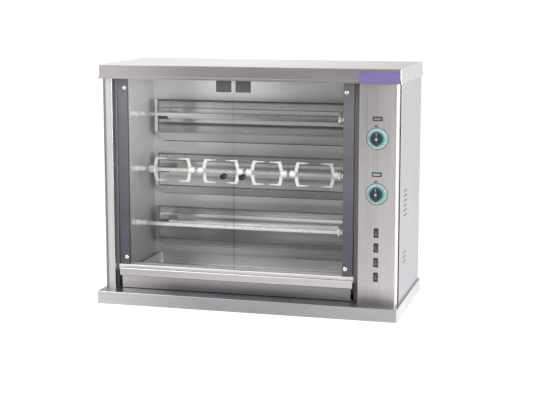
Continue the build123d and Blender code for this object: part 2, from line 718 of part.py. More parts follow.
def switch_frame(z):
    inner_w = SWITCH_W - 2 * SWITCH_RIM
    inner_h = SWITCH_H - 2 * SWITCH_RIM
    frame = box_at(SWITCH_W, SWITCH_H, Y_FRONT - SWITCH_OUT, Y_FRONT, z)
    frame = fillet(frame.edges().filter_by(Axis.Y), BEND / 2)
    frame += box_at(inner_w - 2 * SEAT, inner_h - 2 * SEAT, Y_FRONT, Y_FRONT + SWITCH_BACK, z)
    depth = Y_FRONT + SWITCH_BACK / 2
    frame -= box_at(inner_w - 2 * SWITCH_RIM, inner_h - 2 * SWITCH_RIM, Y_FRONT - SWITCH_OUT, depth, z)
    half = SWITCH_W / 2 - SHEET
    y = Y_FRONT + ROCKER_DEPTH
    return frame - rod_x(CONTROL_X - half, CONTROL_X + half, ROCKER_PIN_D + 2 * RUN, y, z)


# Rocker key, drawn level and then tipped to its off position
def rocker(z):
    half_h = SWITCH_H / 2 - 2 * SWITCH_RIM - 4 * FIT
    half_w = SWITCH_W / 2 - 2 * SWITCH_RIM - FIT
    out = -SWITCH_OUT - ROCKER_DEPTH
    face = [(out, half_h), (out + ROCKER_DISH, 0), (out, -half_h)]
    outline = face + [(0, -half_h), (ROCKER_DEPTH, 0), (0, half_h)]
    key = extrude(Plane.YZ * make_face(Polyline(*outline, close=True)), half_w, both=True)
    pin = SWITCH_W / 2 - SHEET - FIT
    key += rod_x(-pin, pin, ROCKER_PIN_D, 0, 0)
    return Pos(CONTROL_X, Y_FRONT + ROCKER_DEPTH, z) * Rot(ROCKER_HALF, 0, 0) * key


# Cable inlet gland on the rear panel
def cable_gland():
    y = Y_REAR + SHEET
    gland = rod_y(Y_REAR - GLAND_OUT, y, GLAND_D, GLAND_X, GLAND_Z)
    gland += rod_y(Y_REAR - GLAND_NUT_H, Y_REAR, GLAND_NUT_D, GLAND_X, GLAND_Z)
    gland += rod_y(y, y + GLAND_OUT / 2, GLAND_NUT_D, GLAND_X, GLAND_Z)
    dome = rod_y(y + GLAND_OUT / 2, y + GLAND_OUT, GLAND_D, GLAND_X, GLAND_Z)
    gland += chamfer(dome.faces().sort_by(Axis.Y)[-1].edges(), SHEET)
    return gland - rod_y(Y_REAR - GLAND_OUT, y + GLAND_OUT, GLAND_BORE, GLAND_X, GLAND_Z)


def made_for(levels, maker):
    return Compound([maker(z) for z in levels])


# Every piece under its own name
NODES = {
    "base_pan": base_pan(),
    "feet": feet(),
    "left_side_panel": left_side_panel(),
    "right_side_panel": right_side_panel(),
    "rear_panel": rear_panel(),
    "top_cover": top_cover(),
    "control_panel": control_panel(),
    "header_rail": header_rail(),
    "sill_rail": sill_rail(),
    "door_pivot_pins": door_pivot_pins(),
    "cavity_left_wall": cavity_left_wall(),
    "cavity_right_wall": cavity_right_wall(),
    "cavity_back_wall": cavity_back_wall(),
    "cavity_ceiling": cavity_ceiling(),
    "tray_rails": tray_rails(),
    "element_end_caps": element_end_caps(),
    "spit_bushes": spit_bushes(),
    "gear_motors": made_for(SPIT_LEVELS.values(), gear_motor),
    "dial_plates": made_for(DIAL_Z, dial_plate),
    "regulators": made_for(DIAL_Z, regulator),
    "pilot_frames": made_for([z + PILOT_ABOVE for z in DIAL_Z], pilot_frame),
    "pilot_lenses": made_for([z + PILOT_ABOVE for z in DIAL_Z], pilot_lens),
    "switch_frames": made_for(ROCKER_Z, switch_frame),
    "door_magnets": Compound([door_magnet(), right_hand(door_magnet())]),
    "cable_gland": cable_gland(),
    "drip_tray_pan": drip_tray_pan(),
    "drip_tray_front": drip_tray_front(),
    "left_door_stile": door_stile(),
    "left_door_glass": door_glass(),
    "left_door_knob": door_knob(),
    "left_strike_plate": strike_plate(),
    "right_door_stile": right_hand(door_stile()),
    "right_door_glass": right_hand(door_glass()),
    "right_door_knob": right_hand(door_knob()),
    "right_strike_plate": right_hand(strike_plate()),
    "fork_screws": fork_screws(),
}
for level, height in SPIT_LEVELS.items():
    NODES["reflector_" + level] = reflector(height)
    NODES["element_" + level] = element(height)
    NODES["spit_" + level] = spit(height)
    NODES["drive_socket_" + level] = drive_socket(height)
for number in range(BAY_COUNT):
    NODES["fork_pair_" + str(number + 1)] = fork_pair(number)
for name, height in zip(("upper", "lower"), DIAL_Z):
    NODES["dial_knob_" + name] = dial_knob(height)
for number, height in enumerate(ROCKER_Z):
    NODES["rocker_" + str(number + 1)] = rocker(height)

os.makedirs("parts", exist_ok=True)
for name, shape in NODES.items():
    export_step(shape, "parts/" + name + ".step")
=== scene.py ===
import math

import bmesh
import bpy
from mathutils import Matrix, Vector


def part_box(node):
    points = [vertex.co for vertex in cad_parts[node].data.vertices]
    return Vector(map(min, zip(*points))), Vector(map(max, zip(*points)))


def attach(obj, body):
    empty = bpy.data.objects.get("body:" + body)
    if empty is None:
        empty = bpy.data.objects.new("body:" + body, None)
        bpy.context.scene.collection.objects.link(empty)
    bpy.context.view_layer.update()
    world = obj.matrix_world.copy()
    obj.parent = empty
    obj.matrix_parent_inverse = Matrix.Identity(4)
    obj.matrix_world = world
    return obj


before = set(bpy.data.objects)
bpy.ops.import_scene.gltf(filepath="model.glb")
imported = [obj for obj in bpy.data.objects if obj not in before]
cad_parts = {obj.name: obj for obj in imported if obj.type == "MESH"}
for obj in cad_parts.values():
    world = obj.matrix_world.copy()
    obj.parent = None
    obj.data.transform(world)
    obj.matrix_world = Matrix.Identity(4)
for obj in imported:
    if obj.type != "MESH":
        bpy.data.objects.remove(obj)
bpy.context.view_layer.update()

# Camera at the photograph's viewing angle: place in metres, angles in degrees, lens in millimetres
CAMERA_AT = (1.1815, -4.2614, 1.0556)
CAMERA_YAW = 15.28
CAMERA_PITCH = 9.22
CAMERA_LENS = 88.98

# Softboxes: place, aim and size in metres, power in watts
SOFTBOXES = {
    "key_softbox": {"at": (-2.2, -2.6, 2.9), "aim": (0, 0, 0.4), "size": (2.4, 2.4), "power": 88},
    "front_softbox": {"at": (-1.5, -3.4, 1.25), "aim": (-0.1, 0.1, 0.45), "size": (1.5, 1.1), "power": 8},
    "right_softbox": {"at": (2.5, -2.5, 0.95), "aim": (-0.4, 0, 0.45), "size": (1.0, 1.0), "power": 70},
    "side_softbox": {"at": (2.8, -0.6, 0.9), "aim": (0.4, -0.1, 0.4), "size": (1.2, 1.2), "power": 20},
}

# Floor: half its width in metres, its tone, its share of white for shown rays, and its dimmer front right
FLOOR_HALF = 60.0
FLOOR_TONE = 0.86
FLOOR_WHITE = 0.62
FLOOR_SEEN = 1.5
FLOOR_LEAN = (0.9, -0.3, 0)
FLOOR_ACROSS = (-0.6, 1.0)
FLOOR_AHEAD = (-0.3, -2.2)
FLOOR_DIM = 0.22

# World: its light on the object, and the levels that shown rays see in front and behind
WORLD_FILL = 0.5
WORLD_FRONT = 0.5
WORLD_BACK = 1.1
WORLD_TURN = (-0.6, 0.1)

# Caps on the door stiles and screws, in metres
CAP_RADIUS = 0.0075
CAP_HEIGHT = 0.0022
CAP_INSET = 0.027
CAP_FROM_TOP = 0.030
CAP_FROM_FOOT = 0.023
STRIKE_SCREW_RADIUS = 0.0032
STRIKE_SCREW_HEIGHT = 0.0016
SCREW_RADIUS = 0.0045
SCREW_HEIGHT = 0.0022
SCREW_INSET = 0.024
SCREW_FROM_TOP = 0.048
REAR_SHEET = 0.0012

# Profiles of round heads, from the middle to the rim and the seat, as shares of the radius and the height
SEAT = ((1, -0.1), (0, -0.1))
CAP_PROFILE = ((0, 1), (0.3, 0.97), (0.6, 0.86), (0.85, 0.6), (1, 0)) + SEAT
SCREW_PROFILE = ((0, 0.25), (0.34, 0.3), (0.42, 0.95), (0.7, 0.85), (0.95, 0.4), (1, 0)) + SEAT

# Bare plate on the cover's lip, in metres from the edges of the control panel and the cover
PLATE_FROM_PANEL = 0.0045
PLATE_FROM_END = 0.0095
PLATE_FROM_FOOT = 0.0005
PLATE_FROM_TOP = 0.0100
PLATE_PROUD = 0.0014
PLATE_BEVEL = 0.0005
HEM_HEIGHT = 0.0090
HEM_OUT = 0.0025
HEM_CLEARANCE = 0.0006

# Dial scales, their rings and index marks, pointers and hubs, and rocker signs, in metres and degrees
PRINT_HEIGHT = 0.00015
TICK_COUNT = 19
TICK_EVERY = 3
TICK_SWEEP = 270.0
TICK_LENGTH = 0.0024
TICK_WIDTH = 0.0011
TICK_FROM_RIM = 0.0080
NUMBER_SIZE = 0.0052
NUMBER_FROM_RIM = 0.0030
RING_GAP = 0.0016
RING_WIDTH = 0.0020
INDEX_GAP = 0.0048
INDEX_BAR = (0.0022, 0.0080)
INDEX_BLOCK = (0.0066, 0.0056)
INDEX_ASIDE = 0.0055
POINTER_WIDTH = 0.0016
POINTER_REACH = (0.4, 0.88)
HUB_RADIUS = 0.0042
HUB_HEIGHT = 0.0008
SIGN_SIZE = 0.0075
SLOPE_FACING = -0.8

# Mesh making, in steps of a full turn, metres and radians
HEAD_STEPS = 24
RING_STEPS = 64
MERGE_TURNED = 0.00001
MERGE_LETTERS = 0.000001
ROUND_ANGLE = math.radians(50)

# Noise scales of the finishes, per metre
GRAIN = {"X": (4, 420, 420), "Z": (420, 420, 4)}
BANDS = {"X": (0.7, 26, 26), "Z": (26, 26, 0.7)}
POLISH_CLOUD = (60, 60, 60)
MOULD_GRAIN = (900, 900, 900)
STILE_GRAIN = (900, 900, 40)
TUBE_GRAIN = (40, 900, 900)
MOULD_CLOUD = (9, 9, 9)
GLASS_SMEAR = (7, 7, 3)

# How far the noise moves tone and roughness, and the height of the grain in metres
STREAK_SMOOTHER = 2
STREAK_ROUGHER = 3
STEEL_RELIEF = 0.0003
POLISH_TONES = (0.93, 1.03)
POLISH_ROUGH = (0.7, 1.4)
MOULD_CONTRAST = 0.12
MOULD_ROUGH = (-0.06, 0.08)
MOULD_BUMP = 0.25
MOULD_RELIEF = 0.0002

# Door glass: the facing of its flat sides, its smeared gloss, and its gloss seen straight and edge on
GLASS_FLAT = (0.4, 0.9)
GLASS_ROUGH = (0.02, 0.10)
GLASS_GLOSS = 0.035
GLASS_EDGE_GLOSS = 0.9
GLASS_EDGE_POWER = 5.0

# Plain white, and the warm tint of the troughs' grey
WHITE = (1, 1, 1)
WARM_GREY = (1.0, 0.995, 0.98)

# Numbers of the Mix node's colour sockets, whose names aren't unique
MIX_FIRST = 6
MIX_SECOND = 7
MIX_RESULT = 2


# Node helpers
def feed(tree, socket, value):
    if isinstance(value, bpy.types.NodeSocket):
        tree.links.new(value, socket)
    else:
        socket.default_value = value


def node(tree, kind, values=None, **settings):
    made = tree.nodes.new("ShaderNode" + kind)
    for key, value in settings.items():
        setattr(made, key, value)
    for key, value in (values or {}).items():
        feed(tree, made.inputs[key], value)
    return made


def new_material(name):
    made = bpy.data.materials.new(name)
    made.use_nodes = True
    tree = made.node_tree
    return made, tree, tree.nodes["Principled BSDF"]


def math_node(tree, operation, *values):
    return node(tree, "Math", dict(enumerate(values)), operation=operation).outputs[0]


def along_axis(tree, source, axis):
    coords = node(tree, "TexCoord").outputs[source]
    return node(tree, "SeparateXYZ", {"Vector": coords}).outputs[axis]


def noise(tree, scale, detail=3.0, rough=0.55):
    coords = node(tree, "TexCoord").outputs["Object"]
    place = node(tree, "Mapping", {"Vector": coords, "Scale": scale}).outputs["Vector"]
    values = {"Vector": place, "Scale": 1.0, "Detail": detail, "Roughness": rough}
    return node(tree, "TexNoise", values).outputs["Fac"]


def spread(tree, value, low, high, start=0.3, end=0.7):
    values = {"Value": value, "From Min": start, "From Max": end, "To Min": low, "To Max": high}
    return node(tree, "MapRange", values).outputs["Result"]


def blend_colour(tree, share, first, second, kind="MIX"):
    made = node(tree, "Mix", {"Factor": share}, data_type="RGBA", blend_type=kind)
    feed(tree, made.inputs[MIX_FIRST], first)
    feed(tree, made.inputs[MIX_SECOND], second)
    return made.outputs[MIX_RESULT]


def surface_bump(tree, shader, height, strength, distance):
    values = {"Height": height, "Strength": strength, "Distance": distance}
    feed(tree, shader.inputs["Normal"], node(tree, "Bump", values).outputs["Normal"])


def show_mixed(tree, share, first, second, output="Material Output"):
    mixed = node(tree, "MixShader", {0: share, 1: first.outputs[0], 2: second.outputs[0]})
    feed(tree, tree.nodes[output].inputs["Surface"], mixed.outputs[0])


# Colours
def tinted(colour, share):
    return (colour[0] * share, colour[1] * share, colour[2] * share, 1.0)


def grey(level):
    return tuple(level * part for part in WARM_GREY)


# Shares that tell one area of a piece from another: by the way it faces, or by its place along an axis
def facing(axis, start, end):
    def share(tree):
        return spread(tree, along_axis(tree, "Normal", axis), 0, 1, start, end)
    return share


def ramp(axis, start, end, edge=0.0):
    def share(tree):
        return spread(tree, along_axis(tree, "Object", axis), 0, 1, edge + start, edge + end)
    return share


def both(first, second):
    def share(tree):
        return math_node(tree, "MULTIPLY", first(tree), second(tree))
    return share


# Finishes: a layer is a tone and the share of its area, and a painted shade or a satin is a level and a
# share
def layered(tree, pattern, colour, contrast, layers):
    low, high = 1 - contrast, 1 + contrast
    mixed = blend_colour(tree, pattern, tinted(colour, low), tinted(colour, high))
    for tone, share in layers:
        other = blend_colour(tree, pattern, tinted(tone, low), tinted(tone, high))
        mixed = blend_colour(tree, share(tree), mixed, other)
    return mixed


# Painted shade: dims a colour to a level over a share of the piece
def painted_dimming(tree, colour, level, share):
    dimmed = blend_colour(tree, share(tree), tinted(WHITE, 1), tinted(WHITE, level))
    return blend_colour(tree, 1.0, colour, dimmed, "MULTIPLY")


def brushed_steel(name, colour, along, rough=0.32, bands=0.10, layers=(), metal=1.0, relief=0.12, painted_shade=None,
                  streak=0.065, satin=None):
    made, tree, shader = new_material(name)
    grain = noise(tree, GRAIN[along], detail=4.0, rough=0.6)
    broad = noise(tree, BANDS[along], detail=2.0)
    fine = layered(tree, spread(tree, grain, 0, 1), colour, streak, layers)
    shade = blend_colour(tree, spread(tree, broad, 0, 1), tinted(WHITE, 1 - bands), tinted(WHITE, 1))
    toned = blend_colour(tree, 1.0, fine, shade, "MULTIPLY")
    if painted_shade:
        toned = painted_dimming(tree, toned, *painted_shade)
    feed(tree, shader.inputs["Base Color"], toned)
    smoothest = rough * (1 - STREAK_SMOOTHER * streak)
    roughest = rough * (1 + STREAK_ROUGHER * streak)
    feed(tree, shader.inputs["Roughness"], spread(tree, grain, smoothest, roughest))
    shader.inputs["Metallic"].default_value = metal
    if satin:
        level, share = satin
        feed(tree, shader.inputs["Metallic"], spread(tree, share(tree), metal, level, 0, 1))
    surface_bump(tree, shader, grain, relief, STEEL_RELIEF)
    return made


def polished_steel(name, colour, rough, metal=1.0, painted_shade=None):
    made, tree, shader = new_material(name)
    cloud = noise(tree, POLISH_CLOUD)
    darker, lighter = [tinted(colour, share) for share in POLISH_TONES]
    toned = blend_colour(tree, spread(tree, cloud, 0, 1), darker, lighter)
    if painted_shade:
        toned = painted_dimming(tree, toned, *painted_shade)
    feed(tree, shader.inputs["Base Color"], toned)
    smoothest, roughest = [rough * share for share in POLISH_ROUGH]
    feed(tree, shader.inputs["Roughness"], spread(tree, cloud, smoothest, roughest))
    shader.inputs["Metallic"].default_value = metal
    return made


def grained(name, colour, rough, metal=0.0, scale=MOULD_GRAIN, layers=()):
    made, tree, shader = new_material(name)
    grain = noise(tree, scale)
    cloud = spread(tree, noise(tree, MOULD_CLOUD, detail=2.0), 0, 1)
    feed(tree, shader.inputs["Base Color"], layered(tree, cloud, colour, MOULD_CONTRAST, layers))
    smoothest, roughest = [rough + change for change in MOULD_ROUGH]
    feed(tree, shader.inputs["Roughness"], spread(tree, grain, smoothest, roughest))
    shader.inputs["Metallic"].default_value = metal
    surface_bump(tree, shader, grain, MOULD_BUMP, MOULD_RELIEF)
    return made


def clear_glass(name, tint, low_edge, high_edge, high_area):
    made, tree, shader = new_material(name)
    front_or_back = math_node(tree, "ABSOLUTE", along_axis(tree, "Normal", "Y"))
    flat = spread(tree, front_or_back, 0, 1, *GLASS_FLAT)
    edge = blend_colour(tree, high_area(tree), tinted(low_edge, 1), tinted(high_edge, 1))
    clear = node(tree, "BsdfTransparent", {"Color": blend_colour(tree, flat, edge, tinted(tint, 1))})
    gloss = node(tree, "BsdfGlossy", {"Roughness": spread(tree, noise(tree, GLASS_SMEAR), *GLASS_ROUGH)})
    edge_on = node(tree, "LayerWeight", {"Blend": 0.5}).outputs["Facing"]
    steep = math_node(tree, "POWER", edge_on, GLASS_EDGE_POWER)
    mirrored = math_node(tree, "MULTIPLY_ADD", steep, GLASS_EDGE_GLOSS, GLASS_GLOSS)
    show_mixed(tree, mirrored, clear, gloss)
    tree.nodes.remove(shader)
    return made


# Piece helpers
def finished(shape, name, finish):
    bmesh.ops.recalc_face_normals(shape, faces=shape.faces)
    mesh = bpy.data.meshes.new(name)
    shape.to_mesh(mesh)
    shape.free()
    piece = bpy.data.objects.new(name, mesh)
    bpy.context.collection.objects.link(piece)
    mesh.materials.append(finish)
    return piece


def carried(piece, body):
    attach(piece, body)


def joined(shape, one):
    mesh = bpy.data.meshes.new("part")
    one.to_mesh(mesh)
    one.free()
    shape.from_mesh(mesh)
    bpy.data.meshes.remove(mesh)


def turned(shape, profile, place, steps=HEAD_STEPS):
    one = bmesh.new()
    corners = [one.verts.new((radius, -out, 0)) for radius, out in profile]
    edges = [one.edges.new(pair) for pair in zip(corners, corners[1:])]
    whole = {"cent": (0, 0, 0), "axis": (0, 1, 0), "angle": math.tau, "steps": steps, "use_merge": True}
    bmesh.ops.spin(one, geom=corners + edges, **whole)
    bmesh.ops.remove_doubles(one, verts=one.verts, dist=MERGE_TURNED)
    bmesh.ops.recalc_face_normals(one, faces=one.faces)
    for face in one.faces:
        face.smooth = True
    for edge in one.edges:
        edge.smooth = edge.calc_face_angle(0.0) < ROUND_ANGLE
    bmesh.ops.transform(one, matrix=place, verts=one.verts)
    joined(shape, one)


def drawn(shape, outline, depth, bevel=0.0):
    one = bmesh.new()
    face = one.faces.new([one.verts.new(corner) for corner in outline])
    made = bmesh.ops.extrude_face_region(one, geom=[face])
    moved = [part for part in made["geom"] if isinstance(part, bmesh.types.BMVert)]
    bmesh.ops.translate(one, vec=depth, verts=moved)
    if bevel:
        rounding = {"offset": bevel, "segments": 2, "profile": 0.5, "affect": "EDGES", "material": -1}
        bmesh.ops.bevel(one, geom=one.edges[:], **rounding)
    joined(shape, one)


def bar_print(shape, place, width, low, high):
    half = width / 2
    outline = [(-half, 0, low), (half, 0, low), (half, 0, high), (-half, 0, high)]
    one = bmesh.new()
    drawn(one, outline, (0, -PRINT_HEIGHT, 0))
    bmesh.ops.transform(one, matrix=place, verts=one.verts)
    joined(shape, one)


def lettering(shape, words, size, place):
    curve = bpy.data.curves.new("letters", "FONT")
    curve.body = words
    curve.size = size
    curve.align_x = "CENTER"
    curve.align_y = "CENTER"
    curve.extrude = PRINT_HEIGHT / 2
    letters = bpy.data.objects.new("letters", curve)
    one = bmesh.new()
    one.from_mesh(letters.to_mesh())
    letters.to_mesh_clear()
    bpy.data.objects.remove(letters)
    bpy.data.curves.remove(curve)
    bmesh.ops.remove_doubles(one, verts=one.verts, dist=MERGE_LETTERS)
    upright = Matrix.Rotation(math.radians(90), 4, "X") @ Matrix.Translation((0, 0, PRINT_HEIGHT / 2))
    bmesh.ops.transform(one, matrix=place @ upright, verts=one.verts)
    joined(shape, one)


def turn_y(degrees):
    return Matrix.Rotation(math.radians(degrees), 4, "Y")


# Studio: a floor and a world that show white to the camera, to metal and to glass
def shown_rays(tree):
    rays = node(tree, "LightPath").outputs
    seen_or_mirrored = math_node(tree, "MAXIMUM", rays["Is Camera Ray"], rays["Is Glossy Ray"])
    return math_node(tree, "MAXIMUM", seen_or_mirrored, rays["Is Transmission Ray"])


def floor_material():
    made, tree, shader = new_material("floor_pale")
    shader.inputs["Base Color"].default_value = tinted(WHITE, FLOOR_TONE)
    shader.inputs["Roughness"].default_value = 1.0
    shader.inputs["Specular IOR Level"].default_value = 0.0
    coords = node(tree, "TexCoord").outputs["Object"]
    lean = node(tree, "VectorMath", {0: coords, 1: FLOOR_LEAN}, operation="DOT_PRODUCT").outputs["Value"]
    across = spread(tree, lean, 0, 1 - FLOOR_DIM, *FLOOR_ACROSS)
    dimming = math_node(tree, "MULTIPLY", across, ramp("Y", *FLOOR_AHEAD)(tree))
    level = math_node(tree, "SUBTRACT", 1.0, dimming)
    seen = math_node(tree, "MULTIPLY", node(tree, "LightPath").outputs["Is Camera Ray"], FLOOR_SEEN)
    strength = math_node(tree, "MAXIMUM", level, seen)
    white = node(tree, "Emission", {"Color": tinted(WHITE, 1), "Strength": strength})
    show_mixed(tree, math_node(tree, "MULTIPLY", shown_rays(tree), FLOOR_WHITE), shader, white)
    return made


def build_floor():
    shape = bmesh.new()
    bmesh.ops.create_grid(shape, x_segments=1, y_segments=1, size=FLOOR_HALF)
    floor = finished(shape, "studio_floor", floor_material())


def build_world():
    world = bpy.data.worlds.new("studio")
    bpy.context.scene.world = world
    world.use_nodes = True
    tree = world.node_tree
    level = spread(tree, along_axis(tree, "Generated", "Y"), WORLD_FRONT, WORLD_BACK, *WORLD_TURN)
    shown = node(tree, "Background", {"Color": tinted(WHITE, 1), "Strength": level})
    fill = tree.nodes["Background"]
    fill.inputs["Color"].default_value = tinted(WHITE, 1)
    fill.inputs["Strength"].default_value = WORLD_FILL
    show_mixed(tree, shown_rays(tree), fill, shown, output="World Output")


def softbox(name, at, aim, size, power):
    data = bpy.data.lights.new(name, "AREA")
    data.shape = "RECTANGLE"
    data.size, data.size_y = size
    data.energy = power
    lamp = bpy.data.objects.new(name, data)
    bpy.context.collection.objects.link(lamp)
    lamp.location = at
    lamp.rotation_euler = (Vector(aim) - Vector(at)).to_track_quat("-Z", "Y").to_euler()


def build_camera():
    data = bpy.data.cameras.new("view")
    data.lens = CAMERA_LENS
    camera = bpy.data.objects.new("view", data)
    bpy.context.collection.objects.link(camera)
    camera.location = CAMERA_AT
    camera.rotation_euler = (math.radians(90 - CAMERA_PITCH), 0, math.radians(CAMERA_YAW))
    bpy.context.scene.camera = camera


build_world()
build_floor()
for name, settings in SOFTBOXES.items():
    softbox(name, **settings)
build_camera()
bpy.context.scene.view_settings.view_transform = "Standard"

# Edges that tones are measured from, in metres
POST_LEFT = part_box("left_side_panel")[0].x
WALL_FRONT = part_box("cavity_left_wall")[0].y
TRAY_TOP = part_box("drip_tray_front")[1].z
DIAL_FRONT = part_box("dial_knob_upper")[0].y
TROUGH_LOW, TROUGH_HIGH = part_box("reflector_upper")

# Ways that a surface faces, by its normal along an axis
FRONT = facing("Y", -0.6, -0.9)
UP = facing("Z", 0.5, 0.9)
DOWN = facing("Z", -0.3, -0.6)
RIGHT = facing("X", 0.5, 0.9)
PANEL_BEND = facing("X", 0.2, 0.6)

# Areas of the case, doors and controls, painted light and shade but for the dial skirt: where a tone starts
# and is full, in metres
# Painted shade on the front faces along the post's left bend
POST_BEND_PAINTED_SHADE = both(FRONT, ramp("X", 0.0115, 0.0080, edge=POST_LEFT))
# Painted shade on the right half of the cover, and painted light at both ends of its lip
COVER_RIGHT_PAINTED_SHADE = ramp("X", 0.0, 0.5)
COVER_LIP_LEFT_PAINTED_LIGHT = both(FRONT, ramp("X", -0.18, -0.45))
COVER_LIP_RIGHT_PAINTED_LIGHT = both(FRONT, ramp("X", 0.02, 0.28))
# Painted light on the panel's right part, painted shade on its upper left and at its foot, and a painted
# highlight low on its bend
PANEL_RIGHT_PAINTED_LIGHT = ramp("X", 0.37, 0.50)
PANEL_TOP_LEFT_PAINTED_SHADE = both(ramp("Z", 0.46, 0.70), ramp("X", 0.49, 0.39))
PANEL_BEND_LOW_PAINTED_HIGHLIGHT = both(PANEL_BEND, ramp("Z", 0.50, 0.15))
PANEL_FOOT_PAINTED_SHADE = both(ramp("Z", 0.102, 0.056), ramp("X", 0.50, 0.44))
# Painted light at both ends of the base, which is left darker in the middle
BASE_LEFT_PAINTED_LIGHT = ramp("X", -0.15, -0.48)
BASE_RIGHT_PAINTED_LIGHT = ramp("X", 0.10, 0.45)
# Painted light on the tray's right part, and painted shade on its apron, darkest at the foot and right,
# lighter at the left
TRAY_RIGHT_PAINTED_LIGHT = ramp("X", -0.30, 0.28)
TRAY_APRON_PAINTED_SHADE = ramp("Z", -0.0268, -0.0282, edge=TRAY_TOP)
TRAY_APRON_FOOT_PAINTED_SHADE = ramp("Z", -0.0290, -0.0590, edge=TRAY_TOP)
TRAY_APRON_LEFT_PAINTED_LIGHT = both(TRAY_APRON_PAINTED_SHADE, ramp("X", -0.26, -0.44))
TRAY_APRON_RIGHT_PAINTED_SHADE = both(TRAY_APRON_PAINTED_SHADE, ramp("X", 0.10, 0.34))
# Painted shade towards the stiles' foot
STILE_FOOT_PAINTED_SHADE = ramp("Z", 0.68, 0.25)
# Painted light: the glass edges' green tint, the glass's own, turns paler higher up
GLASS_HIGH_PAINTED_LIGHT = ramp("Z", 0.40, 0.56)
DIAL_SKIRT = ramp("Y", 0.0136, 0.0144, edge=DIAL_FRONT)
# The lower pilot shown lit: its lens painted paler as a painted glow, and its frame given a greener tone
LIT_LOWER_PILOT = ramp("Z", 0.56, 0.54)

# Areas of painted light and shade in the cavity and on what is in it, in the same way
OFF_LEFT_WALL = ramp("X", -0.34, -0.18)
WALL_EDGE = ramp("Y", 0.002, 0.001, edge=WALL_FRONT)
# Painted shade towards the foot of the side walls
WALL_FOOT_PAINTED_SHADE = ramp("Z", 0.66, 0.15)
# Painted light at the top of the back wall, and painted shade across its middle, at its foot and towards
# the right
BACK_TOP_PAINTED_LIGHT = both(ramp("Z", 0.64, 0.68), ramp("X", 0.30, 0.05))
BACK_MIDDLE_PAINTED_SHADE = both(ramp("Z", 0.60, 0.56), both(OFF_LEFT_WALL, ramp("X", 0.30, 0.0)))
BACK_FOOT_PAINTED_SHADE = ramp("Z", 0.128, 0.118)
BACK_RIGHT_PAINTED_SHADE = ramp("X", -0.10, 0.32)
# Painted shade on the upper and the right-hand bars
BARS_PAINTED_SHADE = both(ramp("Z", 0.25, 0.56), ramp("X", -0.42, -0.02))
# Painted shade in the troughs' folds, mouths, corners and front edges, painted light on their flanges,
# painted shade on the flanges' sides
TROUGH_FOLD_PAINTED_SHADE = both(UP, ramp("Y", -0.030, -0.018, edge=TROUGH_HIGH.y))
TROUGH_MOUTH_PAINTED_SHADE = both(DOWN, ramp("Y", 0.0155, 0.0105, edge=TROUGH_LOW.y))
TROUGH_CORNER_PAINTED_SHADE = both(DOWN, ramp("Y", -0.0115, -0.0065, edge=TROUGH_HIGH.y))
TROUGH_BACK = ramp("Y", -0.0095, -0.0055, edge=TROUGH_HIGH.y)
TROUGH_EDGE_PAINTED_SHADE = both(FRONT, ramp("Y", 0.0060, 0.0045, edge=TROUGH_LOW.y))
LEFT_FLANGE_PAINTED_LIGHT = both(TROUGH_EDGE_PAINTED_SHADE, ramp("X", 0.0125, 0.0110, edge=TROUGH_LOW.x))
RIGHT_FLANGE_PAINTED_LIGHT = both(TROUGH_EDGE_PAINTED_SHADE, ramp("X", -0.0120, -0.0105, edge=TROUGH_HIGH.x))
FLANGE_SIDE_PAINTED_SHADE = both(RIGHT, ramp("Y", 0.0175, 0.0075, edge=TROUGH_LOW.y))

# Heights above the tube where the painted tones of a trough's lower lip and apron start and are full, in
# metres
TROUGH_LIP_HEIGHT = (-0.020, -0.030)
TROUGH_APRON_HEIGHT = (-0.050, -0.054)

# Painted light and shade that the troughs share, and that of each trough, area by area
SHARED_TROUGH_LIGHT_AND_SHADE = {"roof": 0.96, "mouth": 0.18, "corner": 0.30, "edge": 0.06, "side": 0.12}
TROUGH_LIGHT_AND_SHADE = {
    "upper": {"slope": 0.70, "fold": 0.14, "apron": 1.0, "lip": 0.42, "foot": 0.07, "flange": 0.97},
    "middle": {"slope": 0.95, "fold": 0.70, "apron": 0.98, "lip": 0.06, "foot": 0.40, "flange": 0.75},
    "lower": {"slope": 0.40, "fold": 0.36, "apron": 0.80, "lip": 0.06, "foot": 0.55, "flange": 0.40},
}

# Heights above the tube between which a trough turns from polished to satin, and its metal there
SATIN_HEIGHT = {"upper": (-0.052, -0.056), "middle": (0.0, -0.004)}
SATIN_METAL = 0.1

# Painted shade: how far a trough dims towards its middle, and where along X the dimming starts and is full
TROUGH_PAINTED_DIM = {"upper": 0.74, "middle": 0.62, "lower": 0.50}
PAINTED_DIM_ACROSS = {"upper": (0.45, -0.05), "middle": (0.55, 0.10), "lower": (0.05, -0.20)}


